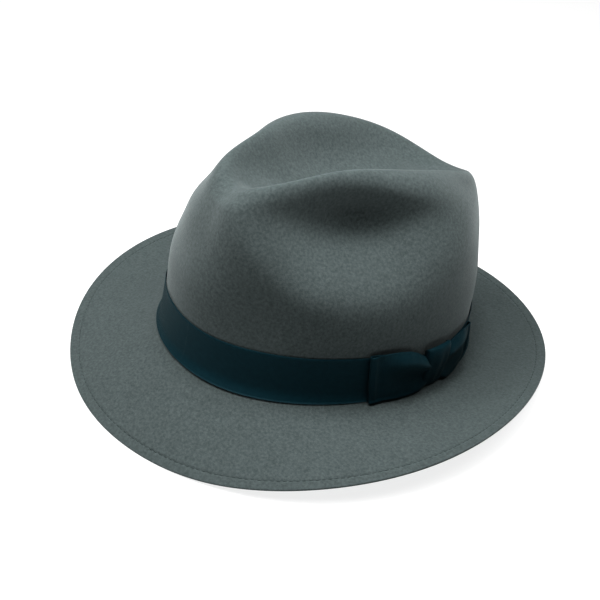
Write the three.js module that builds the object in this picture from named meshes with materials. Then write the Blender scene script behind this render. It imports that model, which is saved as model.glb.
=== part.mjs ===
// A felt fedora with a teardrop crown, a snapped-down front brim and a flat ribbon bow on the wearer's left.
// Millimetres, +Z up, front of the hat towards -Y, wearer's left towards +X. It rests on its brim at z = 0.
import * as THREE from "three";

// Felt body, measured on its outer face where the crown meets the brim, for head size 58.
const HALF_LENGTH = 103;
const HALF_WIDTH = 85;
const FELT = 2;

// How the hat rests: pitched back until the front and the back of the brim touch, and settled a little,
// so that the soft felt lies flat there.
const STEEPEST_PITCH = THREE.MathUtils.degToRad(15);
const SETTLE = 0.8;

// Sections through the brim, from the front of the hat (0 degrees) to the back (180), the same on both
// sides: how far out its edge is from the break, and how high.
const BRIM_COLUMNS = ["angle", "reach", "edge"];
const BRIM_ROWS = [
  [0, 47, -27],
  [14, 48, -26.5],
  [30, 50, -24.5],
  [50, 55, -13],
  [75, 58.5, 0],
  [100, 55, 8.5],
  [125, 51, 8.5],
  [150, 52.5, 5],
  [180, 55, 6],
];

// Sections through the crown, round by the wearer's left to the back and on by the right. ribbonLow and
// ribbonHigh are the heights of the ribbon's edges. The wall's insets are middle, upper, flare and dent, the
// last at the height dentUp. roll and crest, with their heights, place the fat roll along the crease, and
// round is its size on the inner side.
const CROWN_COLUMNS = [
  "angle", "ribbonLow", "ribbonHigh", "middle", "upper", "flare", "dent", "dentUp", "roll", "rollUp", "crest",
  "crestUp", "round",
];
const CROWN_ROWS = [
  [0, 5, 30.5, -2, 2, 7, 10.5, 101.5, 11.5, 100.5, 20.5, 109.5, 10],
  [14, 4, 30, -0.5, 0.5, -2.5, -0.5, 108.5, 5.5, 112, 14, 117, 8],
  [30, 4, 31, 6.5, -0.5, 2.5, 27, 100, 22, 110, 28.5, 119, 6],
  [50, 5, 32.5, -2, -1, 26.5, 44.5, 100, 31, 116.5, 37, 126.5, 5],
  [75, 5.5, 34, 0.5, 4, 26.5, 46.5, 99, 28.5, 116, 41, 127, 6],
  [100, 5.5, 21, 2.5, 1, 2, 15.5, 103.5, 20, 112.5, 37.5, 122, 9],
  [125, 4.5, 30, 1.5, 7.5, 11.5, 17.5, 104, 27.5, 107.5, 34.5, 115.5, 11],
  [150, 4.5, 31.5, 4, 5.5, 7, 10, 92, 9, 97, 17.5, 112, 11],
  [180, 4.5, 32, 4, 5.5, 5.5, 6.5, 79, 5.5, 83, 14, 97, 11],
  [-150, 4.5, 32, 4, 5.5, 6, 8.5, 92, 9, 97, 17.5, 112, 11],
  [-125, 4.5, 32, 2.5, 7.5, 9, 14, 103.5, 26.5, 109, 32, 121.5, 11],
  [-100, 4.5, 32, 2.5, 1, 2.5, 14, 101.5, 21, 112.5, 37, 125.5, 9],
  [-75, 4.5, 32, 2, 5, 26.5, 44.5, 97, 28.5, 114, 41, 125, 6],
  [-50, 4.5, 32, 1.5, 8, 16, 35.5, 104, 40, 118.5, 43, 124, 5],
  [-30, 5.5, 33, 0.5, 6.5, 8.5, 18.5, 103, 29, 113.5, 34, 122, 6],
  [-14, 5.5, 32, 0.5, 4.5, 5.5, 9.5, 98.5, 10.5, 107, 17.5, 118.5, 8],
];
const named = (columns, rows) =>
  rows.map((row) => Object.fromEntries(row.map((value, i) => [columns[i], value])));
const BRIM = named(BRIM_COLUMNS, BRIM_ROWS);
const CROWN = named(CROWN_COLUMNS, CROWN_ROWS);

// The brim's bend between edge and break, as shares of its reach and of its edge's height.
const BRIM_BENDS = [
  { reach: 0.66, edge: 0.6 },
  { reach: 0.28, edge: 0.14 },
];
const BREAK_HEIGHT = 3.5;

// The wall's rows: two behind the ribbon, then three at shares of the dent's height.
const RIBBON_ROWS = [
  { inset: 1, height: 12 },
  { inset: 2, height: 32 },
];
const WALL_ROWS = [
  { name: "middle", height: 0.52 },
  { name: "upper", height: 0.7 },
  { name: "flare", height: 0.86 },
];

// The roll's inner side, in units of round, and the crease: its slope as shares of the way to the centre line
// and of the depth, its floor's height in the middle of the hat, and how much that falls towards the back.
const INNER_SIDE = { inset: 1.3, height: -0.8 };
const CREASE_SLOPE = [
  { inset: 0.38, height: 0.36 },
  { inset: 0.71, height: 0 },
];
const CREASE_FLOOR = 95;
const CREASE_FALL = 0.045;

// Steps of the mesh: round the hat for each span between two sections, and along the section for each span
// between two rows.
const STEPS_ROUND = 4;
const STEPS_ALONG = [2, 2, 2, 2, 1, 1, 2, 2, 2, 2, 3, 3, 2, 2, 2];

// Ribbon band: its thickness and its distance from the felt.
const RIBBON = 1;
const CLEARANCE = 0.5;
const RIBBON_LEVELS = 4;

// Bow, a row for each cross-section along the band: angle, lower and upper edge, and thickness.
const FRONT_LOOP = [
  { angle: 69.5, low: 5.6, high: 34.2, thick: 2 },
  { angle: 72, low: 5.8, high: 34.8, thick: 2.6 },
  { angle: 76, low: 5.8, high: 35.2, thick: 2.6 },
  { angle: 81, low: 5.6, high: 34.2, thick: 2.8 },
  { angle: 86, low: 5.4, high: 31.4, thick: 3.4 },
  { angle: 89.5, low: 5.6, high: 28, thick: 3.6 },
  { angle: 92, low: 6.2, high: 25.4, thick: 3 },
];
const KNOT = [
  { angle: 92.4, low: 6.6, high: 28, thick: 3.2 },
  { angle: 94.2, low: 6.2, high: 29.2, thick: 4.6 },
  { angle: 97.2, low: 6, high: 29.8, thick: 5.2 },
  { angle: 100.2, low: 6.2, high: 29.8, thick: 4.8 },
  { angle: 102, low: 6.8, high: 29, thick: 3.4 },
];
const REAR_LOOP = [
  { angle: 102.4, low: 7, high: 27.6, thick: 3 },
  { angle: 105.5, low: 6.2, high: 29, thick: 3.6 },
  { angle: 110, low: 6.6, high: 30, thick: 3.8 },
  { angle: 115, low: 7.6, high: 30.2, thick: 3.6 },
  { angle: 119.5, low: 9.4, high: 29.4, thick: 3.2 },
];
const BOW_CORNERS = 10;
const BOW_SQUARENESS = 0.45;

const FELT_COLOUR = 0x5b6867;
const RIBBON_COLOUR = 0x0a2229;

// Steps of each search by halving.
const HALVINGS = 40;

const BREAK_ROW = BRIM_BENDS.length + 1;
const SPINE_ROW = STEPS_ALONG.length;
const SPANS_ROUND = CROWN.length;

// Shares of four neighbouring controls at t between the middle two: the uniform cubic B-spline.
function blend(t) {
  const s = 1 - t;
  return [
    (s * s * s) / 6,
    (3 * t * t * t - 6 * t * t + 4) / 6,
    (3 * s * s * s - 6 * s * s + 4) / 6,
    (t * t * t) / 6,
  ];
}

// The rows of one section as controls, each an inset from the outer face at the break and a height.
function sectionControls(crown) {
  const { angle, dent, dentUp, roll, rollUp, crest, crestUp, round } = crown;
  const { reach, edge } = BRIM.find((brim) => brim.angle === Math.abs(angle));
  const forwards = Math.cos(THREE.MathUtils.degToRad(angle));
  const floorAt = (inset) => CREASE_FLOOR + CREASE_FALL * (HALF_LENGTH - inset) * forwards;
  return [
    { inset: -reach, height: edge },
    ...BRIM_BENDS.map((bend) => ({ inset: -bend.reach * reach, height: bend.edge * edge })),
    { inset: 0, height: BREAK_HEIGHT },
    ...RIBBON_ROWS,
    ...WALL_ROWS.map((row) => ({ inset: crown[row.name], height: row.height * dentUp })),
    { inset: dent, height: dentUp },
    { inset: roll, height: rollUp },
    { inset: crest, height: crestUp },
    { inset: crest + INNER_SIDE.inset * round, height: crestUp + INNER_SIDE.height * round },
    ...CREASE_SLOPE.map((slope) => {
      const inset = THREE.MathUtils.lerp(crest, HALF_WIDTH, slope.inset);
      return { inset, height: THREE.MathUtils.lerp(floorAt(inset), crestUp, slope.height) };
    }),
    { inset: HALF_WIDTH, height: floorAt(HALF_WIDTH) },
  ];
}

const CONTROLS = CROWN.map(sectionControls);

// The section at a place round the hat, counted in spans from the front: its angle, the ribbon's edges and
// blended controls.
function stationAt(place) {
  const first = Math.floor(place);
  const station = { degrees: 0, ribbonLow: 0, ribbonHigh: 0 };
  station.controls = CONTROLS[0].map(() => ({ inset: 0, height: 0 }));
  blend(place - first).forEach((share, i) => {
    const index = first - 1 + i;
    const turns = Math.floor(index / SPANS_ROUND);
    const row = index - turns * SPANS_ROUND;
    const angle = row > SPANS_ROUND / 2 ? CROWN[row].angle + 360 : CROWN[row].angle;
    station.degrees += share * (angle + 360 * turns);
    station.ribbonLow += share * CROWN[row].ribbonLow;
    station.ribbonHigh += share * CROWN[row].ribbonHigh;
    station.controls.forEach((control, j) => {
      control.inset += share * CONTROLS[row][j].inset;
      control.height += share * CONTROLS[row][j].height;
    });
  });
  return station;
}

// A point of the section at a row number. Past the brim's edge the curve runs straight on, and past the
// centre line it is mirrored.
function sectionPoint(station, row) {
  const { controls } = station;
  const first = Math.min(Math.floor(row), SPINE_ROW - 1);
  const shares = blend(row - first);
  const point = { inset: 0, height: 0 };
  shares.forEach((share, i) => {
    let index = first - 1 + i;
    let { inset, height } = controls[Math.max(0, Math.min(index, 2 * SPINE_ROW - index))];
    if (index < 0) {
      inset = 2 * controls[0].inset - controls[1].inset;
      height = 2 * controls[0].height - controls[1].height;
    }
    if (index > SPINE_ROW) {
      inset = 2 * HALF_WIDTH - inset;
    }
    point.inset += share * inset;
    point.height += share * height;
  });
  return point;
}

// A place on the hat from its angle, its inset and its height over the break: the plan is an oval that closes
// on the centre line.
function plan(degrees, inset, height) {
  const angle = THREE.MathUtils.degToRad(degrees);
  return new THREE.Vector3(
    (HALF_WIDTH - inset) * Math.sin(angle),
    -(HALF_LENGTH - inset) * Math.cos(angle),
    height,
  );
}

const ROUND_COUNT = SPANS_ROUND * STEPS_ROUND;
const STATIONS = Array.from({ length: ROUND_COUNT }, (_, i) => stationAt(i / STEPS_ROUND));
const ROWS = STEPS_ALONG.flatMap((steps, span) => Array.from({ length: steps }, (_, i) => span + i / steps));
ROWS.push(SPINE_ROW);
const ROW_COUNT = ROWS.length;

// The number of a point on one face of the felt, from its place round the hat and along the section. On the
// centre line the two sides share their points.
function pointNumber(round, along) {
  const wrapped = round % ROUND_COUNT;
  const shared = along === ROW_COUNT - 1 ? Math.min(wrapped, ROUND_COUNT - wrapped) : wrapped;
  return shared * ROW_COUNT + along;
}

// The triangles of one face of the felt, two for each cell of its grid.
function faceTriangles(flipped) {
  const triangles = [];
  for (let i = 0; i < ROUND_COUNT; i += 1) {
    for (let j = 0; j < ROW_COUNT - 1; j += 1) {
      const a = pointNumber(i, j);
      const b = pointNumber(i + 1, j);
      const c = pointNumber(i + 1, j + 1);
      const d = pointNumber(i, j + 1);
      triangles.push(...(flipped ? [a, d, b, d, c, b] : [a, b, d, d, b, c]));
    }
  }
  return triangles;
}

function bodyFrom(points, triangles) {
  const geometry = new THREE.BufferGeometry();
  geometry.setAttribute("position", new THREE.Float32BufferAttribute(points.flatMap((p) => p.toArray()), 3));
  geometry.setIndex(triangles);
  return geometry;
}

const outerPoints = STATIONS.flatMap((station) =>
  ROWS.map((row) => {
    const { inset, height } = sectionPoint(station, row);
    return plan(station.degrees, inset, height);
  }),
);

// The inner face: the outer one moved in by the felt's thickness, square to it.
function innerFace() {
  const sheet = bodyFrom(outerPoints, faceTriangles(false));
  sheet.computeVertexNormals();
  const normals = sheet.getAttribute("normal");
  return outerPoints.map((point, i) =>
    point.clone().addScaledVector(new THREE.Vector3().fromBufferAttribute(normals, i), -FELT),
  );
}

const innerPoints = innerFace();

// The hat as it rests: pitched back and lowered onto its brim.
const pitched = (point, pitch) => point.clone().applyAxisAngle(new THREE.Vector3(1, 0, 0), -pitch);

const lowestOf = (points, pitch) => Math.min(...points.map((point) => pitched(point, pitch).z));

// The pitch at which the front half of the brim and the back half are equally low.
function restPitch() {
  const front = innerPoints.filter((point) => point.y < 0);
  const back = innerPoints.filter((point) => point.y > 0);
  let low = 0;
  let high = STEEPEST_PITCH;
  for (let i = 0; i < HALVINGS; i += 1) {
    const middle = (low + high) / 2;
    if (lowestOf(front, middle) < lowestOf(back, middle)) {
      low = middle;
    } else {
      high = middle;
    }
  }
  return low;
}

const REST_PITCH = restPitch();
const LOWEST = lowestOf(innerPoints, REST_PITCH) + SETTLE;
const LENGTHWISE = outerPoints.map((point) => pitched(point, REST_PITCH).y);
const MIDDLE = (Math.min(...LENGTHWISE) + Math.max(...LENGTHWISE)) / 2;

// The resting place of a point: the origin is under the middle of the hat. The felt is soft, so what would
// reach below the surface lies flat on it.
function rested(point) {
  const placed = pitched(point, REST_PITCH);
  return placed.set(placed.x, placed.y - MIDDLE, Math.max(placed.z - LOWEST, 0));
}

// Crown and brim: the outer face, the inner face and the cut edge between them.
function feltBody() {
  const inner = outerPoints.length;
  const triangles = [...faceTriangles(false), ...faceTriangles(true).map((number) => number + inner)];
  for (let i = 0; i < ROUND_COUNT; i += 1) {
    const a = pointNumber(i, 0);
    const b = pointNumber(i + 1, 0);
    triangles.push(a, a + inner, b, b, a + inner, b + inner);
  }
  return bodyFrom([...outerPoints, ...innerPoints].map(rested), triangles);
}

// The inset of the wall's outer face at a height over the break, found on the rows between break and dent,
// where the wall only rises.
function wallInset(station, height) {
  let low = BREAK_ROW;
  let high = BREAK_ROW + RIBBON_ROWS.length + WALL_ROWS.length;
  for (let i = 0; i < HALVINGS; i += 1) {
    const half = (low + high) / 2;
    if (sectionPoint(station, half).height < height) {
      low = half;
    } else {
      high = half;
    }
  }
  return sectionPoint(station, low).inset;
}

// A closed tube from loops of points, joined end to end or capped at both ends.
function loft(loops, joined) {
  const around = loops[0].length;
  const triangles = [];
  const spans = joined ? loops.length : loops.length - 1;
  for (let i = 0; i < spans; i += 1) {
    const a = i * around;
    const b = ((i + 1) % loops.length) * around;
    for (let j = 0; j < around; j += 1) {
      const k = (j + 1) % around;
      triangles.push(a + j, b + j, b + k, a + j, b + k, a + k);
    }
  }
  if (!joined) {
    const last = (loops.length - 1) * around;
    for (let j = 1; j < around - 1; j += 1) {
      triangles.push(0, j, j + 1, last, last + j + 1, last + j);
    }
  }
  return bodyFrom(loops.flat().map(rested), triangles);
}

// The ribbon band: a thin strip that follows the wall all the way round.
function ribbonBand() {
  const loops = STATIONS.map((station) => {
    const levels = Array.from({ length: RIBBON_LEVELS }, (_, i) =>
      THREE.MathUtils.lerp(station.ribbonLow, station.ribbonHigh, i / (RIBBON_LEVELS - 1)),
    );
    const side = (out) => levels.map((z) => plan(station.degrees, wallInset(station, z) - out, z));
    return [...side(CLEARANCE).reverse(), ...side(CLEARANCE + RIBBON)];
  });
  return loft(loops, true);
}

// The place round the hat, in spans, whose angle is the one given.
function placeOf(degrees) {
  let low = 0;
  let high = SPANS_ROUND / 2;
  for (let i = 0; i < HALVINGS; i += 1) {
    const middle = (low + high) / 2;
    if (stationAt(middle).degrees < degrees) {
      low = middle;
    } else {
      high = middle;
    }
  }
  return low;
}

// A piece of the bow: a flat rounded section at each row, lying on the ribbon band.
function bowPiece(rows) {
  const loops = rows.map(({ angle, low, high, thick }) => {
    const station = stationAt(placeOf(angle));
    return Array.from({ length: BOW_CORNERS }, (_, i) => {
      const turn = (2 * Math.PI * (i + 0.5)) / BOW_CORNERS;
      const soften = (value) => Math.sign(value) * Math.abs(value) ** BOW_SQUARENESS;
      const z = THREE.MathUtils.lerp(low, high, 0.5 + 0.5 * soften(Math.sin(turn)));
      const out = 2 * CLEARANCE + RIBBON + thick * (0.5 + 0.5 * soften(Math.cos(turn)));
      return plan(angle, wallInset(station, z) - out, z);
    });
  });
  return loft(loops, false);
}

const feltMaterial = new THREE.MeshStandardMaterial({ color: FELT_COLOUR, roughness: 0.95, metalness: 0 });
const ribbonMaterial = new THREE.MeshStandardMaterial({ color: RIBBON_COLOUR, roughness: 0.6, metalness: 0 });

const PIECES = [
  { name: "felt_body", geometry: feltBody(), material: feltMaterial },
  { name: "ribbon_band", geometry: ribbonBand(), material: ribbonMaterial },
  { name: "bow_front_loop", geometry: bowPiece(FRONT_LOOP), material: ribbonMaterial.clone() },
  { name: "bow_knot", geometry: bowPiece(KNOT), material: ribbonMaterial.clone() },
  { name: "bow_rear_loop", geometry: bowPiece(REAR_LOOP), material: ribbonMaterial.clone() },
];

const hat = new THREE.Group();
hat.name = "fedora";
for (const { name, geometry, material } of PIECES) {
  const mesh = new THREE.Mesh(geometry, material);
  mesh.name = name;
  hat.add(mesh);
}

export default hat;
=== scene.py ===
import bpy
import numpy as np
from mathutils import Matrix, Vector


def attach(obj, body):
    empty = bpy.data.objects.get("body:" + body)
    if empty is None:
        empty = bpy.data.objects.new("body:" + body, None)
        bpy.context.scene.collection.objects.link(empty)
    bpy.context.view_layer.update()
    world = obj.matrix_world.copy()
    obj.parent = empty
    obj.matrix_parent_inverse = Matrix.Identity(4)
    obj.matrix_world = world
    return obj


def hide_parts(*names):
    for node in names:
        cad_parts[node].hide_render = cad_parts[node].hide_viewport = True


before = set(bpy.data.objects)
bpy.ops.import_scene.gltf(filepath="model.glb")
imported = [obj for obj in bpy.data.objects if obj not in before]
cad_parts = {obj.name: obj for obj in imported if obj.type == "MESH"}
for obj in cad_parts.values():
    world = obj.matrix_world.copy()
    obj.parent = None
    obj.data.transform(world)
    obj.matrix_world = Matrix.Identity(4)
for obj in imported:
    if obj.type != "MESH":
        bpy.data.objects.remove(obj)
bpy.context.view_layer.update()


# Camera: the photograph's view, from the front and the wearer's left, well above the brim and turned a
# little about the line of sight. It looks at the middle of the fold between crown and brim.
CAMERA_AZIMUTH, CAMERA_ELEVATION, CAMERA_TILT = np.radians([44.85, 34.02, 6.23])
CAMERA_DISTANCE = 0.7221
LOOKED_AT = np.array([0, -0.00232, 0.01238])
PICTURE_SIZE = 600
LOOKED_AT_PIXEL = (315.6, 326.0)
FOCAL_PIXELS = 1160.5
SENSOR_WIDTH = 36
FARTHEST_SEEN = 100

towards_camera = np.array([
    np.sin(CAMERA_AZIMUTH) * np.cos(CAMERA_ELEVATION),
    -np.cos(CAMERA_AZIMUTH) * np.cos(CAMERA_ELEVATION),
    np.sin(CAMERA_ELEVATION),
])
level_right = np.array([np.cos(CAMERA_AZIMUTH), np.sin(CAMERA_AZIMUTH), 0])
level_up = np.cross(towards_camera, level_right)
camera_right = np.cos(CAMERA_TILT) * level_right + np.sin(CAMERA_TILT) * level_up
camera_up = np.cos(CAMERA_TILT) * level_up - np.sin(CAMERA_TILT) * level_right

camera_data = bpy.data.cameras.new("photo_camera")
camera_data.sensor_width = SENSOR_WIDTH
camera_data.lens = FOCAL_PIXELS / PICTURE_SIZE * SENSOR_WIDTH
camera_data.shift_x = (PICTURE_SIZE / 2 - LOOKED_AT_PIXEL[0]) / PICTURE_SIZE
camera_data.shift_y = (LOOKED_AT_PIXEL[1] - PICTURE_SIZE / 2) / PICTURE_SIZE
camera_data.clip_end = FARTHEST_SEEN
camera = bpy.data.objects.new("photo_camera", camera_data)
bpy.context.scene.collection.objects.link(camera)
camera_place = np.eye(4)
camera_place[:3, :3] = np.stack([camera_right, camera_up, towards_camera], 1)
camera_place[:3, 3] = LOOKED_AT + CAMERA_DISTANCE * towards_camera
camera.matrix_world = Matrix(camera_place.tolist())
bpy.context.scene.camera = camera


# Felt body: crown and brim are one piece of fur felt, blocked over a wooden form, cut at the brim's edge and
# creased by hand. Sections run from the brim's edge over the crown to the bottom of the crease, and a smooth
# spline surface follows them.
MM = 0.001
HALF_LENGTH = 103
HALF_WIDTH = 85
FELT = 2
# A brim row is an angle from the front, to either side, and how far out and how high the edge is there.
BRIM_ROWS = np.array([
    [0, 47, -27],
    [14, 47.5, -26.5],
    [30, 49.5, -24.5],
    [50, 54.5, -13],
    [75, 57.5, 0],
    [100, 53.5, 8.5],
    [125, 50, 8.5],
    [150, 52.5, 5],
    [180, 55, 6],
])
# A crown row is an angle, above 0 on the wearer's left and below 0 on the right, the ribbon's two heights,
# the wall's insets, the place of the fat roll along the crease, and the size of its inner side.
CROWN_COLUMNS = [
    "angle", "ribbon_low", "ribbon_high", "middle", "upper", "flare", "dent", "dent_up", "roll", "roll_up",
    "crest", "crest_up", "round",
]
CROWN_ROWS = np.array([
    [0, 5, 30.5, -2, 2, 7, 10.5, 101.5, 11.5, 100.5, 20.5, 109.5, 10],
    [14, 4, 30, -0.5, 0.5, -2.5, -0.5, 108.5, 5.5, 112.5, 14, 118.5, 8],
    [30, 4, 31, 6.5, -0.5, 2.5, 24.5, 100, 22, 113, 28.5, 125, 6],
    [50, 5, 32.5, -2, -1, 26.5, 48, 100, 31, 118.5, 37, 130.5, 5],
    [75, 5.5, 34, 0.5, 4, 26.5, 48, 99, 28.5, 117, 41, 129, 6],
    [100, 5.5, 21, 2.5, 1, 2, 15.5, 103.5, 20, 114.5, 37.5, 126, 9],
    [125, 4.5, 30, 1.5, 7.5, 11.5, 17.5, 104, 27.5, 110, 34.5, 120.5, 11],
    [150, 4.5, 31.5, 4, 5.5, 7, 10, 92, 9, 97, 17.5, 112, 11],
    [180, 4.5, 32, 4, 5.5, 5.5, 6.5, 79, 5.5, 83, 14, 97, 11],
    [-150, 4.5, 32, 4, 5.5, 6, 8.5, 92, 9, 97, 17.5, 112, 11],
    [-125, 4.5, 32, 2.5, 7.5, 9, 14, 103.5, 26.5, 109, 32, 121.5, 11],
    [-100, 4.5, 32, 2.5, 1, 2.5, 14, 101.5, 21, 112.5, 37, 125.5, 9],
    [-75, 4.5, 32, 2, 5, 26.5, 44.5, 97, 28.5, 114, 41, 125, 6],
    [-50, 4.5, 32, 1.5, 8, 16, 35.5, 104, 40, 118.5, 43, 124, 5],
    [-30, 5.5, 33, 0.5, 6.5, 8.5, 18.5, 103, 29, 113.5, 34, 122, 6],
    [-14, 5.5, 32, 0.5, 4.5, 5.5, 9.5, 98.5, 10.5, 107, 17.5, 118.5, 8],
])
BREAK_HEIGHT = 3.5
BRIM_BENDS = [(0.66, 0.6), (0.28, 0.14)]
RIBBON_ROWS = [(1, 12), (2, 32)]
WALL_HEIGHTS = {"middle": 0.52, "upper": 0.7, "flare": 0.86}
INNER_SIDE = (1.3, -0.8)
CREASE_SLOPE = [(0.38, 0.36), (0.71, 0)]
CREASE_FLOOR, CREASE_FALL = 95, 0.045
BREAK_ROW, SPINE_ROW = 3, 15
SPANS_ROUND = 16
REST_PITCH = np.radians(5.8345)
REST_DROP = 12.380
REST_FORWARD = 2.323
STATIONS = SPANS_ROUND * 20
# How far the rows beside the brim's edge are from it.
EDGE_DISTANCES = np.array([0, 0.5, 1.2, 2.2, 3.2, 4, 4.5, 4.9, 5.2, 5.5, 5.8, 6.1, 6.5, 7, 7.8])
INNER_ROWS = 118
STITCH_LINE = 5.5
STITCH_GROOVE = 0.3
GROOVE_WIDTH = 0.55
EDGE_THINNER = 0.8
EDGE_BULGE = 0.3
EDGE_ROUND = 7
TRIAL_ROW = 0.3
SHORTEST_NORMAL = 1e-12
FELT_DARK, FELT_LIGHT = (0.058, 0.072, 0.072, 1), (0.100, 0.119, 0.119, 1)
FELT_SHEEN = (0.85, 0.92, 0.92, 1)


def spline_shares(between):
    """Shares of four neighbouring controls in a uniform cubic B-spline, between 0 and 1 from the second
    control to the third: cubes and their differences, over six."""
    rest = 1 - between
    return np.stack([
        rest**3,
        3 * between**3 - 6 * between**2 + 4,
        3 * rest**3 - 6 * rest**2 + 4,
        between**3,
    ], -1) / 6


def section_net():
    """Controls of the 16 sections, an inset and a height for each of 18 rows: one straight on past the brim's
    edge, the 16 of the section, and one mirrored past the centre line."""
    column = dict(zip(CROWN_COLUMNS, CROWN_ROWS.T))
    half = SPANS_ROUND // 2
    reach, edge = BRIM_ROWS[half - np.abs(np.arange(SPANS_ROUND) - half), 1:].T
    dent_up, crest, crest_up, size = (column[name] for name in ("dent_up", "crest", "crest_up", "round"))
    same = np.ones(SPANS_ROUND)
    forwards = np.cos(np.radians(column["angle"]))

    def floor_at(inset):
        """The crease's floor: it falls evenly towards the back."""
        return CREASE_FLOOR + CREASE_FALL * (HALF_LENGTH - inset) * forwards

    rows = [(-reach, edge)]
    rows += [(-reach * out, edge * up) for out, up in BRIM_BENDS]
    rows += [(0 * same, BREAK_HEIGHT * same)]
    rows += [(inset * same, height * same) for inset, height in RIBBON_ROWS]
    rows += [(column[name], share * dent_up) for name, share in WALL_HEIGHTS.items()]
    rows += [(column[name], column[name + "_up"]) for name in ("dent", "roll", "crest")]
    rows += [(crest + INNER_SIDE[0] * size, crest_up + INNER_SIDE[1] * size)]
    for over, up in CREASE_SLOPE:
        inset = crest + over * (HALF_WIDTH - crest)
        rows.append((inset, floor_at(inset) + up * (crest_up - floor_at(inset))))
    rows += [(HALF_WIDTH * same, floor_at(HALF_WIDTH))]
    insets, heights = (np.stack(values, 1) for values in zip(*rows))
    insets = np.column_stack([2 * insets[:, 0] - insets[:, 1], insets, 2 * HALF_WIDTH - insets[:, -2]])
    heights = np.column_stack([2 * heights[:, 0] - heights[:, 1], heights, heights[:, -2]])
    return insets, heights


def felt_stations(places):
    """Angle, insets and heights of the 18 controls, and the ribbon's two edges, at places round the hat,
    counted in spans from the front: the sections blended by a cubic B-spline."""
    first = np.floor(places).astype(int)
    shares = spline_shares(places - first)
    near = first[:, None] + np.arange(-1, 3)
    turn, near = 360 * (near // SPANS_ROUND), near % SPANS_ROUND
    angles = CROWN_ROWS[:, 0] + 360 * (CROWN_ROWS[:, 0] < 0)
    degrees = (shares * (angles[near] + turn)).sum(1)
    insets, heights = (np.einsum("nk,nkr->nr", shares, net[near]) for net in section_net())
    return degrees, insets, heights, np.einsum("nk,nkr->nr", shares, CROWN_ROWS[near, 1:3])


def felt_section(stations, rows):
    """Inset and height of the felt's outer face at rows of each station's section (stations by rows): its
    controls blended by a cubic B-spline."""
    degrees, insets, heights, _ = stations
    first = np.minimum(np.floor(rows).astype(int), SPINE_ROW - 1)
    shares = spline_shares(rows - first)
    picked = first[..., None] + np.arange(4)
    line = np.arange(len(degrees))[:, None, None]
    return (shares * insets[line, picked]).sum(-1), (shares * heights[line, picked]).sum(-1)


def rested(degrees, inset, height):
    """Points in metres from angle, inset and height over the break: an oval plan that closes on the centre
    line, pitched back and lowered until the brim rests; what would reach below the surface lies on it."""
    angle = np.radians(degrees)
    x = (HALF_WIDTH - inset) * np.sin(angle)
    y = -(HALF_LENGTH - inset) * np.cos(angle)
    back = y * np.cos(REST_PITCH) + height * np.sin(REST_PITCH) - REST_FORWARD
    up = height * np.cos(REST_PITCH) - y * np.sin(REST_PITCH) + REST_DROP
    return np.stack([x + 0 * up, back, np.maximum(up, 0)], -1) * MM


def grid_quads(numbers, closed):
    """Four point numbers for each cell of a grid; closed joins its last line to its first."""
    after = np.roll(numbers, -1, 0) if closed else numbers[1:]
    before = numbers if closed else numbers[:-1]
    quads = np.stack([before[:, :-1], after[:, :-1], after[:, 1:], before[:, 1:]], -1)
    return quads.reshape(-1, 4)


def point_normals(points, quads):
    """Unit normal at each point: the sum of the cross products of its cells' diagonals."""
    corners = points[quads]
    facing = np.cross(corners[:, 2] - corners[:, 0], corners[:, 3] - corners[:, 1])
    normals = np.zeros_like(points)
    for corner in range(4):
        np.add.at(normals, quads[:, corner], facing)
    return normals / np.maximum(np.linalg.norm(normals, axis=1, keepdims=True), SHORTEST_NORMAL)


def make_piece(name, points, quads, material, uv=None):
    """A smooth mesh object from points and quads, with unused points left out and cells of no width made
    triangles; uv gives each point its place on the piece's own map."""
    used, compact = np.unique(quads, return_inverse=True)
    compact = compact.reshape(quads.shape)
    faces = [tuple(dict.fromkeys(face)) for face in compact.tolist()]
    mesh = bpy.data.meshes.new(name)
    mesh.from_pydata(points[used].tolist(), [], [face for face in faces if len(face) > 2])
    mesh.polygons.foreach_set("use_smooth", np.ones(len(mesh.polygons), bool))
    if uv is not None:
        corners = np.zeros(len(mesh.loops), int)
        mesh.loops.foreach_get("vertex_index", corners)
        mesh.uv_layers.new(name="ribbon_map").data.foreach_set("uv", uv[used][corners].ravel())
    mesh.materials.append(material)
    piece = bpy.data.objects.new(name, mesh)
    bpy.context.scene.collection.objects.link(piece)
    return piece


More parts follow.
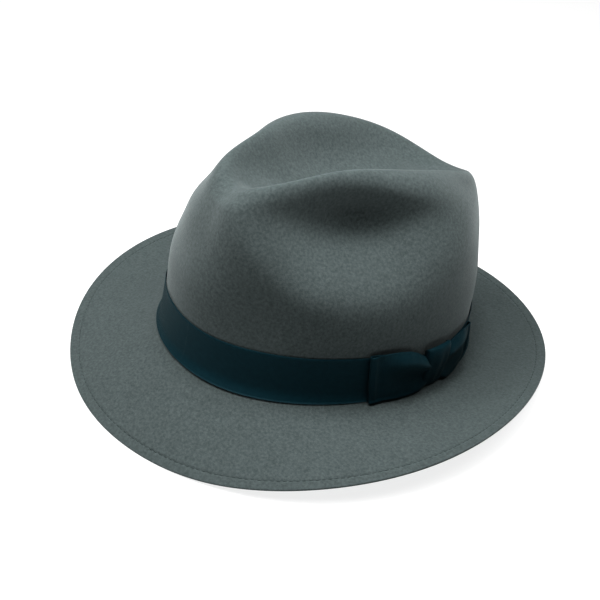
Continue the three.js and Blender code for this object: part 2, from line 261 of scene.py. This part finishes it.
def felt_material():
    """Brushed fur felt: a fine mottle of lighter and darker fibres over soft clouds of colour, a nap that
    glows at grazing angles, and a bump of matted hair."""
    material = bpy.data.materials.new("brushed_felt")
    material.use_nodes = True
    nodes, links = material.node_tree.nodes, material.node_tree.links
    shader = nodes["Principled BSDF"]
    place = nodes.new("ShaderNodeTexCoord")
    fibres = nodes.new("ShaderNodeTexNoise")
    fibres.inputs["Scale"].default_value = 620
    fibres.inputs["Detail"].default_value = 4
    fibres.inputs["Roughness"].default_value = 0.65
    clouds = nodes.new("ShaderNodeTexNoise")
    clouds.inputs["Scale"].default_value = 45
    clouds.inputs["Detail"].default_value = 3
    fleck = nodes.new("ShaderNodeValToRGB")
    fleck.color_ramp.elements[0].position = 0.3
    fleck.color_ramp.elements[0].color = FELT_DARK
    fleck.color_ramp.elements[1].position = 0.72
    fleck.color_ramp.elements[1].color = FELT_LIGHT
    cloud_tone = nodes.new("ShaderNodeMapRange")
    cloud_tone.inputs["To Min"].default_value = 0.93
    cloud_tone.inputs["To Max"].default_value = 1.07
    toned = nodes.new("ShaderNodeVectorMath")
    toned.operation = "SCALE"
    matted = nodes.new("ShaderNodeTexNoise")
    matted.inputs["Scale"].default_value = 1500
    matted.inputs["Detail"].default_value = 3
    bump = nodes.new("ShaderNodeBump")
    bump.inputs["Strength"].default_value = 0.35
    bump.inputs["Distance"].default_value = 0.0003
    for noise in (fibres, clouds, matted):
        links.new(place.outputs["Object"], noise.inputs["Vector"])
    links.new(fibres.outputs["Fac"], fleck.inputs["Fac"])
    links.new(clouds.outputs["Fac"], cloud_tone.inputs["Value"])
    links.new(fleck.outputs["Color"], toned.inputs["Vector"])
    links.new(cloud_tone.outputs["Result"], toned.inputs["Scale"])
    links.new(toned.outputs["Vector"], shader.inputs["Base Color"])
    links.new(matted.outputs["Fac"], bump.inputs["Height"])
    links.new(bump.outputs["Normal"], shader.inputs["Normal"])
    shader.inputs["Roughness"].default_value = 0.95
    shader.inputs["Specular IOR Level"].default_value = 0.15
    shader.inputs["Sheen Weight"].default_value = 0.3
    shader.inputs["Sheen Roughness"].default_value = 0.45
    shader.inputs["Sheen Tint"].default_value = FELT_SHEEN
    return material


# Rows are close together beside the stitched line near the brim's edge, and even from there up.
places = np.arange(STATIONS) * SPANS_ROUND / STATIONS
stations = felt_stations(places)
trial_rows = np.broadcast_to([0.0, TRIAL_ROW], (STATIONS, 2))
trial_points = rested(stations[0][:, None], *felt_section(stations, trial_rows))
row_per_mm = TRIAL_ROW / (np.linalg.norm(trial_points[:, 1] - trial_points[:, 0], axis=1) / MM)
edge_rows = row_per_mm[:, None] * EDGE_DISTANCES
upper_share = np.linspace(0, 1, INNER_ROWS + 1)[1:]
upper_rows = edge_rows[:, -1:] + (SPINE_ROW - edge_rows[:, -1:]) * upper_share
felt_rows = np.concatenate([edge_rows, upper_rows], 1)
outer_face = rested(stations[0][:, None], *felt_section(stations, felt_rows))
ROW_COUNT = felt_rows.shape[1]
numbers = np.arange(STATIONS * ROW_COUNT).reshape(STATIONS, ROW_COUNT)
# On the centre line the two sides of the hat share their points.
line = np.arange(STATIONS)
numbers[:, -1] = np.minimum(line, STATIONS - line) * ROW_COUNT + ROW_COUNT - 1
face_quads = grid_quads(numbers, closed=True)
outer_points = outer_face.reshape(-1, 3)
outward = point_normals(outer_points, face_quads)

# The thread draws the felt in along the stitched line, on both faces, and the brim thins towards its edge.
groove = np.zeros((STATIONS, ROW_COUNT))
from_stitches = (EDGE_DISTANCES - STITCH_LINE) / GROOVE_WIDTH
groove[:, :len(EDGE_DISTANCES)] = STITCH_GROOVE * np.exp(-(from_stitches ** 2))
groove = groove.reshape(-1, 1) * MM
wall = np.full((STATIONS, ROW_COUNT), float(FELT))
wall[:, :len(EDGE_DISTANCES)] -= EDGE_THINNER * (1 - EDGE_DISTANCES / EDGE_DISTANCES[-1])
inner_points = outer_points - outward * (wall.reshape(-1, 1) * MM - groove)
inner_points[:, 2] = np.maximum(inner_points[:, 2], 0)
outer_points = outer_points - outward * groove

# The cut edge is a half round between the two faces.
edge_top = outer_points.reshape(STATIONS, ROW_COUNT, 3)[:, 0]
edge_under = inner_points.reshape(STATIONS, ROW_COUNT, 3)[:, 0]
edge_inward = outer_points.reshape(STATIONS, ROW_COUNT, 3)[:, 1] - edge_top
edge_inward /= np.linalg.norm(edge_inward, axis=1, keepdims=True)
half_turn = np.linspace(0, np.pi, EDGE_ROUND + 2)[None, 1:-1, None]
edge_middle = (edge_top + edge_under) / 2
edge_half = (edge_top - edge_under) / 2
edge_points = (
    edge_middle[:, None]
    + edge_half[:, None] * np.cos(half_turn)
    - edge_inward[:, None] * EDGE_BULGE * MM * np.sin(half_turn)
)
edge_points[..., 2] = np.maximum(edge_points[..., 2], 0)
count = len(outer_points)
edge_numbers = 2 * count + np.arange(STATIONS * EDGE_ROUND).reshape(STATIONS, EDGE_ROUND)
edge_strip = np.concatenate([numbers[:, :1] + count, edge_numbers[:, ::-1], numbers[:, :1]], 1)
felt_quads = np.concatenate([
    face_quads,
    face_quads[:, ::-1] + count,
    grid_quads(edge_strip, closed=True),
])
felt_points = np.concatenate([outer_points, inner_points, edge_points.reshape(-1, 3)])
brushed_felt = felt_material()
felt = make_piece("felt_crown_and_brim", felt_points, felt_quads, brushed_felt)
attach(felt, "root")
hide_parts("felt_body")


# Brim stitching: one row of lockstitch goes all round, a little inside the brim's edge, and shows on both
# faces. Each stitch is a short thread that dips into the felt at its ends.
STITCH_PITCH = 3.4
STITCH_LENGTH = 2.7
THREAD = 0.28
STITCH_RINGS, STITCH_SIDES = 7, 6
STITCH_ENDS = np.array([[0, 1, 2, 3], [0, 3, 4, 5]])
THINNEST_SQUARED = 0.02
THREAD_RISE, THREAD_SINK = 0.9, 0.75
THREAD_DARK, THREAD_LIGHT = (0.030, 0.042, 0.042, 1), (0.060, 0.080, 0.078, 1)


def stitch_material():
    """Cotton thread, a shade darker than the felt and finely mottled, as twisted yarn is."""
    material = bpy.data.materials.new("brim_thread")
    material.use_nodes = True
    nodes, links = material.node_tree.nodes, material.node_tree.links
    shader = nodes["Principled BSDF"]
    place = nodes.new("ShaderNodeTexCoord")
    twist = nodes.new("ShaderNodeTexNoise")
    twist.inputs["Scale"].default_value = 2500
    tone = nodes.new("ShaderNodeValToRGB")
    tone.color_ramp.elements[0].color = THREAD_DARK
    tone.color_ramp.elements[1].color = THREAD_LIGHT
    links.new(place.outputs["Object"], twist.inputs["Vector"])
    links.new(twist.outputs["Fac"], tone.inputs["Fac"])
    links.new(tone.outputs["Color"], shader.inputs["Base Color"])
    shader.inputs["Roughness"].default_value = 0.8
    return material


def stitch_row(line_points, line_normals):
    """Points and quads of all the stitches along a closed line on the felt: at even steps of its length a
    thread with a round section, thin at both ends and sunk there, thickest and highest at its middle."""
    ring = np.concatenate([line_points, line_points[:1]])
    normals = np.concatenate([line_normals, line_normals[:1]])
    steps = np.linalg.norm(np.diff(ring, axis=0), axis=1)
    length = np.concatenate([[0], np.cumsum(steps)])
    count = round(length[-1] / (STITCH_PITCH * MM))
    middle = (np.arange(count) + 0.5) * length[-1] / count
    along = np.linspace(-0.5, 0.5, STITCH_RINGS)
    spot = middle[:, None] + along * STITCH_LENGTH * MM

    def on_line(values):
        """Values along the line, taken at the spots."""
        return np.stack([np.interp(spot, length, values[:, axis]) for axis in range(3)], -1)

    centre, up = on_line(ring), on_line(normals)
    up /= np.linalg.norm(up, axis=-1, keepdims=True)
    forward = np.gradient(centre, axis=1)
    forward /= np.linalg.norm(forward, axis=-1, keepdims=True)
    side = np.cross(forward, up)
    swell = np.sqrt(np.maximum(1 - (2 * along) ** 2, THINNEST_SQUARED))[None, :, None]
    centre = centre + up * THREAD * MM * (THREAD_RISE * swell - THREAD_SINK)
    turn = 2 * np.pi * np.arange(STITCH_SIDES) / STITCH_SIDES
    arms = np.cos(turn)[:, None] * up[:, :, None] + np.sin(turn)[:, None] * side[:, :, None]
    points = centre[:, :, None] + arms * THREAD * MM * swell[..., None]
    numbers = np.arange(count * STITCH_RINGS * STITCH_SIDES).reshape(count, STITCH_RINGS, STITCH_SIDES)
    after = np.roll(numbers, -1, 2)
    quads = np.stack([numbers[:, :-1], numbers[:, 1:], after[:, 1:], after[:, :-1]], -1).reshape(-1, 4)
    first, last = numbers[:, 0], numbers[:, -1]
    caps = [first[:, corners] for corners in STITCH_ENDS]
    caps += [last[:, corners[::-1]] for corners in STITCH_ENDS]
    return points.reshape(-1, 3), np.concatenate([quads, *caps])


stitch_column = int(np.flatnonzero(EDGE_DISTANCES == STITCH_LINE)[0])
thread = stitch_material()
outward_grid = outward.reshape(STATIONS, ROW_COUNT, 3)[:, stitch_column]
for name, face, direction in (("top", outer_points, 1), ("under", inner_points, -1)):
    line_points = face.reshape(STATIONS, ROW_COUNT, 3)[:, stitch_column]
    stitch_points, stitch_quads = stitch_row(line_points, direction * outward_grid)
    stitches = make_piece(f"brim_stitches_{name}", stitch_points, stitch_quads, thread)
    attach(stitches, "root")


# Ribbon band: a grosgrain ribbon laid flat round the foot of the crown, its ends hidden under the bow. Its
# lower edge stands off a little where the felt turns out into the brim.
RIBBON = 0.6
RIBBON_CLEARANCE = 0.3
RIBBON_LEVELS = 25
RIBBON_STATIONS = SPANS_ROUND * 30
RIBBON_FLARE, FLARE_SHARE = 0.1, 0.12
FRONT_FLARE, FRONT_FLARE_ANGLE, FRONT_FLARE_SPREAD = 0.9, 12, 36
WALL_FIRST_ROW, WALL_LAST_ROW = BREAK_ROW - 0.4, BREAK_ROW + 5
WALL_SEARCH = 60
SELVEDGE_SQUARENESS = 24
PETROL_DARK, PETROL_LIGHT = (0.003, 0.025, 0.034, 1), (0.006, 0.037, 0.048, 1)
RIBBON_SHEEN = (0.8, 0.85, 0.8, 1)


def wall_inset(stations, heights):
    """Inset of the crown's outer face at heights over the break (stations by heights): read off the section
    between the break and the dent, where the wall only rises."""
    rows = np.linspace(WALL_FIRST_ROW, WALL_LAST_ROW, WALL_SEARCH)[None]
    inset, height = felt_section(stations, rows)
    after = (height[:, None, :] < heights[:, :, None]).sum(-1).clip(1, WALL_SEARCH - 1)
    line = np.arange(len(height))[:, None]
    low, high = height[line, after - 1], height[line, after]
    share = (heights - low) / (high - low)
    return inset[line, after - 1] + share * (inset[line, after] - inset[line, after - 1])


def ribbon_material():
    """Grosgrain in deep petrol: fine ribs across the ribbon, from its own map, a faint sheen, and
    a slightly uneven dye."""
    material = bpy.data.materials.new("petrol_grosgrain")
    material.use_nodes = True
    nodes, links = material.node_tree.nodes, material.node_tree.links
    shader = nodes["Principled BSDF"]
    weave = nodes.new("ShaderNodeUVMap")
    weave.uv_map = "ribbon_map"
    ribs = nodes.new("ShaderNodeTexWave")
    ribs.wave_type = "BANDS"
    ribs.bands_direction = "X"
    ribs.inputs["Scale"].default_value = 0.45
    ribs.inputs["Distortion"].default_value = 0.6
    ribs.inputs["Detail"].default_value = 1
    dye = nodes.new("ShaderNodeTexNoise")
    dye.inputs["Scale"].default_value = 0.35
    dye.inputs["Detail"].default_value = 4
    tone = nodes.new("ShaderNodeValToRGB")
    tone.color_ramp.elements[0].color = PETROL_DARK
    tone.color_ramp.elements[1].color = PETROL_LIGHT
    bump = nodes.new("ShaderNodeBump")
    bump.inputs["Strength"].default_value = 0.35
    bump.inputs["Distance"].default_value = 0.00025
    links.new(weave.outputs["UV"], ribs.inputs["Vector"])
    links.new(weave.outputs["UV"], dye.inputs["Vector"])
    links.new(dye.outputs["Fac"], tone.inputs["Fac"])
    links.new(tone.outputs["Color"], shader.inputs["Base Color"])
    links.new(ribs.outputs["Fac"], bump.inputs["Height"])
    links.new(bump.outputs["Normal"], shader.inputs["Normal"])
    shader.inputs["Roughness"].default_value = 0.6
    shader.inputs["Specular IOR Level"].default_value = 0.15
    shader.inputs["Sheen Weight"].default_value = 0.05
    shader.inputs["Sheen Roughness"].default_value = 0.45
    shader.inputs["Sheen Tint"].default_value = RIBBON_SHEEN
    return material


def ribbon_loop(shares, out):
    """The band's closed strip, a line of points for each station, at shares of the way from its lower edge to
    its upper one and so far out from the wall, with those heights. The lower edge flares out by a bell of the
    share, and most at the front by a bell of the angle."""
    stations = felt_stations(np.arange(RIBBON_STATIONS) * SPANS_ROUND / RIBBON_STATIONS)
    low, high = stations[3][:, :1], stations[3][:, 1:]
    heights = low + (high - low) * shares
    aside = (stations[0][:, None] - FRONT_FLARE_ANGLE + 180) % 360 - 180
    flare = RIBBON_FLARE + FRONT_FLARE * np.exp(-(aside / FRONT_FLARE_SPREAD) ** 2)
    off = out + flare * np.exp(-(shares / FLARE_SHARE) ** 2)
    return rested(stations[0][:, None], wall_inset(stations, heights) - off, heights), heights


petrol_grosgrain = ribbon_material()
level_share = np.linspace(0, 1, RIBBON_LEVELS)
from_middle = np.abs(2 * level_share - 1) ** SELVEDGE_SQUARENESS
selvedge = 0.5 * RIBBON * (1 - np.sqrt(np.clip(1 - from_middle, 0, 1)))
inner_side = RIBBON_CLEARANCE + selvedge
outer_side = RIBBON_CLEARANCE + RIBBON - selvedge
band_shares = np.concatenate([level_share[::-1], level_share, level_share[-1:]])
band_out = np.concatenate([inner_side[::-1], outer_side, inner_side[-1:]])
band_points, band_heights = ribbon_loop(band_shares, band_out)
lap = np.linalg.norm(np.roll(band_points, -1, 0)[:, 0] - band_points[:, 0], axis=-1)
band_uv = np.stack(np.broadcast_arrays(np.cumsum(lap)[:, None] / MM, band_heights), -1)
band_numbers = np.arange(band_heights.size).reshape(band_heights.shape)
band_numbers[:, -1] = band_numbers[:, 0]
band = make_piece(
    "grosgrain_band", band_points.reshape(-1, 3), grid_quads(band_numbers, closed=True), petrol_grosgrain,
    band_uv.reshape(-1, 2),
)
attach(band, "root")
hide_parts("ribbon_band")


# Bow: a flat tailored bow of the same ribbon, sewn over the join of the band. Each side is one loop, folded
# at its end and gathered where it goes under the knot; the knot is a short strip wrapped over the middle,
# full at its top and drawn in below. The loops' edges are given by angle and height.
BOW_RIBBON = 0.5
BOW_CLEARANCE = 0.35
BAND_FACE = RIBBON_CLEARANCE + RIBBON + BOW_CLEARANCE
ALONG_LAYER, ROUND_FOLD, ACROSS = 96, 10, 36
DEGREE_LENGTH = 1.5
FRONT_LOOP = {
    "fold": 69.3, "knot": 95.0, "fold_radius": 0.9, "lean": 2.2,
    "low": [(69.6, 4.6), (74, 5.2), (80, 4.9), (85, 4.9), (89, 5.4), (92, 6.4), (95, 8)],
    "high": [
        (69.6, 34.3), (72.5, 34.8), (76, 35.3), (79.5, 34.8), (83.5, 33.4), (87, 30.8), (90.5, 27), (93, 24),
        (95, 23),
    ],
}
REAR_LOOP = {
    "fold": 120.6, "knot": 99.5, "fold_radius": 1.0, "lean": 0,
    "low": [(99.5, 7.5), (103, 5.6), (108, 5.2), (113, 6), (117, 7.4), (120.6, 9)],
    "high": [(99.5, 26.5), (103, 28.4), (108, 30), (113, 30.6), (117, 30.2), (120.6, 29.4)],
}
KNOT_EDGES = (91.4, 102.8)
KNOT_LOW, KNOT_HIGH, KNOT_OUT = 6, 31.5, 8
KNOT_SQUARED_ABOVE, KNOT_SQUARED_BELOW = 0.95, 0.6
KNOT_SIDE_BLUNTNESS, KNOT_SIDE_HEIGHT, KNOT_FRONT_SHARE = 0.45, 0.84, 0.8
KNOT_FOLD_HEIGHT, KNOT_FOLD_HALF_WAVES = 0.3, 5
KNOT_LEAST_FULL, KNOT_FULL_CURVE = 0.15, 0.7
KNOT_ACROSS, KNOT_AROUND = 28, 72
ANGLE_SEARCH = 400
LAYERS_APART, LAYER_CROWN = 2.0, 0.25
INNER_TUCK, TUCK_STEEPNESS = 1.6, 3
SWELL_FULL, SWELL_SPENT, SWELL_LOST = 0.55, 0.75, 0.5
LEAN_FADE = 1.6
ROLL_BLUNTNESS = 0.3
# Swells and hollows of a loop: height, middle and width, the last two as shares of the gather or of the
# way across.
FOLD_ROLL, BESIDE_ROLL = (0.7, 0.035, 0.03), (0.5, 0.12, 0.05)
UPPER_SWELL, MIDDLE_HOLLOW = (3.0, 0.76, 0.16), (1.3, 0.36, 0.2)
UPPER_EDGE_DROP, LOWER_EDGE_DROP = (1.2, 1.0, 0.06), (1.1, 0, 0.1)
GATHER_SWELL, LOWER_SWELL = (0.8, 0.8, 0.14), (1, 0.05, 0.08)


def smooth_step(value):
    """Three squares less two cubes of the value, held between 0 and 1."""
    held = np.clip(value, 0, 1)
    return held * held * (3 - 2 * held)


def bell(value, height, middle, width):
    """A bell: its height times e to the minus square of the distance from its middle over its width."""
    return height * np.exp(-((value - middle) / width) ** 2)


def on_crown(angles, heights, out, lean=0):
    """Points so far out from the crown's wall at angles round the hat (lines) and heights (lines by points);
    lean moves points round the hat from their line's angle."""
    fine = np.linspace(0, SPANS_ROUND / 2, ANGLE_SEARCH)
    stations = felt_stations(np.interp(angles, felt_stations(fine)[0], fine))
    return rested(np.asarray(angles)[:, None] + lean, wall_inset(stations, heights) - out, heights)


def bow_loop(loop, forward):
    """A folded loop as one sheet, lines along the ribbon and points across it: out from the knot on the outer
    layer, half round the fold and back on the inner one, which is narrower. Towards the knot the outer layer
    swells under its upper edge, which is drawn down, and is hollowed along its middle. Its lower edge comes
    down on the band. Beside the fold runs a narrow roll with a shallow hollow next to it, and the fold leans
    by some degrees from its lower end to its upper one."""
    radius = loop["fold_radius"]
    layer = np.linspace(0, 1, ALONG_LAYER)
    turn = np.linspace(0, np.pi, ROUND_FOLD + 2)[1:-1]
    end = loop["fold"] - forward * radius / DEGREE_LENGTH
    outer_angles = loop["knot"] + (end - loop["knot"]) * layer
    fold_angles = end + forward * radius / DEGREE_LENGTH * np.sin(turn)
    angles = np.concatenate([outer_angles, fold_angles, outer_angles[::-1]])
    lift = np.concatenate([np.ones(ALONG_LAYER), 0.5 + 0.5 * np.cos(turn), np.zeros(ALONG_LAYER)])
    gather = np.concatenate([1 - layer, np.zeros(ROUND_FOLD), 1 - layer[::-1]])
    across = np.linspace(0, 1, ACROSS)[None]
    low = np.interp(angles, *zip(*loop["low"]))[:, None]
    high = np.interp(angles, *zip(*loop["high"]))[:, None]
    tuck = INNER_TUCK * (1 - lift)[:, None] * smooth_step(gather * TUCK_STEEPNESS)[:, None]
    heights = low + tuck + (high - low - 2 * tuck) * across
    spent = smooth_step((gather - SWELL_SPENT) / (1 - SWELL_SPENT))
    swollen = (smooth_step(gather / SWELL_FULL) * (1 - SWELL_LOST * spent))[:, None]
    rolled = (bell(gather, *FOLD_ROLL) - bell(gather, *BESIDE_ROLL))[:, None]
    rolled = rolled * np.sin(np.pi * across) ** ROLL_BLUNTNESS
    profile = (
        LAYERS_APART * radius + LAYER_CROWN * np.sin(np.pi * across) + rolled
        + swollen * (bell(across, *UPPER_SWELL) - bell(across, *MIDDLE_HOLLOW))
        - swollen * bell(across, *UPPER_EDGE_DROP)
        + bell(gather, *GATHER_SWELL)[:, None] * bell(across, *LOWER_SWELL)
        - bell(across, *LOWER_EDGE_DROP)
    )
    out = BAND_FACE + BOW_RIBBON / 2 + lift[:, None] * profile
    steps = np.hypot(np.diff(angles) * DEGREE_LENGTH, np.diff(out[:, ACROSS // 2]))
    length = np.concatenate([[0], np.cumsum(steps)])
    uv = np.stack(np.broadcast_arrays(length[:, None], heights), -1)
    lean = loop["lean"] * (0.5 - across) * (1 - smooth_step(gather * LEAN_FADE))[:, None]
    return on_crown(angles, heights, out, lean), uv


def bow_knot():
    """The knot's strip as a pillow: lines across the strip and points round it, an oval of height and reach
    out, round above and squared below, fullest near its top, that shrinks round the two sides; soft folds run
    along the strip."""
    side_turn = np.linspace(0, np.pi, KNOT_ACROSS)
    share = 0.5 - 0.5 * np.cos(side_turn)
    angles = KNOT_EDGES[0] + (KNOT_EDGES[1] - KNOT_EDGES[0]) * share
    turn = 2 * np.pi * np.arange(KNOT_AROUND)[None] / KNOT_AROUND
    sideways = (np.abs(np.sin(side_turn)) ** KNOT_SIDE_BLUNTNESS)[:, None]
    squared = np.where(np.sin(turn) > 0, KNOT_SQUARED_ABOVE, KNOT_SQUARED_BELOW)
    rise = np.sign(np.sin(turn)) * np.abs(np.sin(turn)) ** squared
    front = np.sign(np.cos(turn)) * np.abs(np.cos(turn)) ** (KNOT_FRONT_SHARE * squared)
    folds = KNOT_FOLD_HEIGHT * np.cos(KNOT_FOLD_HALF_WAVES * np.pi * share)[:, None]
    folds = folds * sideways * (front > 0) * front**2
    side_share = KNOT_SIDE_HEIGHT + (1 - KNOT_SIDE_HEIGHT) * sideways
    half_height = (KNOT_HIGH - KNOT_LOW) / 2 * side_share
    heights = (KNOT_HIGH + KNOT_LOW) / 2 + half_height * rise
    fullness = KNOT_LEAST_FULL + (1 - KNOT_LEAST_FULL) * (0.5 + 0.5 * rise) ** KNOT_FULL_CURVE
    depth = (KNOT_OUT - BAND_FACE) * fullness * sideways
    out = BAND_FACE + depth * (0.5 + 0.5 * front) + folds
    around = np.broadcast_to(turn / (2 * np.pi) * 2 * (KNOT_HIGH - KNOT_LOW), heights.shape)
    uv = np.stack([around, np.broadcast_to((angles * DEGREE_LENGTH)[:, None], heights.shape)], -1)
    return on_crown(angles, heights, out), uv


def make_bow_piece(name, node, sheet, uv, closed_round=False):
    """A bow piece from its sheet, given half the ribbon's thickness on either side of it; closed_round joins
    the last point of each line to its first."""
    if closed_round:
        sheet = np.concatenate([sheet, sheet[:, :1]], 1)
        uv = np.concatenate([uv, uv[:, :1]], 1)
    numbers = np.arange(sheet[..., 0].size).reshape(sheet.shape[:2])
    if closed_round:
        numbers[:, -1] = numbers[:, 0]
    points = sheet.reshape(-1, 3)
    piece = make_piece(name, points, grid_quads(numbers, closed=False), petrol_grosgrain, uv.reshape(-1, 2))
    thickness = piece.modifiers.new("ribbon_thickness", "SOLIDIFY")
    thickness.thickness = BOW_RIBBON * MM
    thickness.offset = 0
    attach(piece, "root")
    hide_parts(node)


make_bow_piece("bow_loop_front", "bow_front_loop", *bow_loop(FRONT_LOOP, forward=-1))
make_bow_piece("bow_loop_rear", "bow_rear_loop", *bow_loop(REAR_LOOP, forward=1))
make_bow_piece("bow_knot_wrap", "bow_knot", *bow_knot(), closed_round=True)


# Studio: a pale floor that glows a little, as a lit white table does, and soft lights close above the hat,
# the strongest straight overhead and the others round it. The picture is developed with high contrast.
FLOOR_HALF = 40
FLOOR_GREY, FLOOR_GLOW = (0.28, 0.28, 0.28, 1), 0.58
WHITE = (1, 1, 1, 1)
ROOM_LIGHT = 0.01
floor_corners = np.array([[-1, -1, 0], [1, -1, 0], [1, 1, 0], [-1, 1, 0]]) * FLOOR_HALF
floor_material = bpy.data.materials.new("pale_floor")
floor_material.use_nodes = True
floor_shader = floor_material.node_tree.nodes["Principled BSDF"]
floor_shader.inputs["Base Color"].default_value = FLOOR_GREY
floor_shader.inputs["Roughness"].default_value = 0.9
floor_shader.inputs["Emission Color"].default_value = WHITE
floor_shader.inputs["Emission Strength"].default_value = FLOOR_GLOW
studio_floor = make_piece("studio_floor", floor_corners, np.array([[0, 1, 2, 3]]), floor_material)

world = bpy.data.worlds.new("studio")
bpy.context.scene.world = world
world.use_nodes = True
world.node_tree.nodes["Background"].inputs["Color"].default_value = WHITE
world.node_tree.nodes["Background"].inputs["Strength"].default_value = ROOM_LIGHT

LIGHTS = {
    "overhead": {"azimuth": 0, "elevation": 90, "power": 3.5, "size": 0.25},
    "high_right": {"azimuth": -45, "elevation": 65, "power": 2, "size": 0.25},
    "high_front": {"azimuth": 0, "elevation": 65, "power": 1.9, "size": 0.5},
    "high_left": {"azimuth": 90, "elevation": 65, "power": 0.6, "size": 0.5},
    "high_rear": {"azimuth": 135, "elevation": 65, "power": 1.6, "size": 0.5},
    "right": {"azimuth": -45, "elevation": 40, "power": 0.7, "size": 0.5},
}
LIGHT_DISTANCE = 0.8
for name, light in LIGHTS.items():
    lamp_data = bpy.data.lights.new(name, "AREA")
    lamp_data.shape = "DISK"
    lamp_data.size = light["size"]
    lamp_data.energy = light["power"]
    lamp = bpy.data.objects.new(name, lamp_data)
    bpy.context.scene.collection.objects.link(lamp)
    azimuth, elevation = np.radians([light["azimuth"], light["elevation"]])
    level = np.cos(elevation)
    away = Vector((np.sin(azimuth) * level, -np.cos(azimuth) * level, np.sin(elevation)))
    turned = away.to_track_quat("Z", "Y").to_matrix().to_4x4()
    lamp.matrix_world = Matrix.Translation(LIGHT_DISTANCE * away) @ turned
bpy.context.scene.view_settings.view_transform = "Standard"
bpy.context.scene.view_settings.look = "High Contrast"
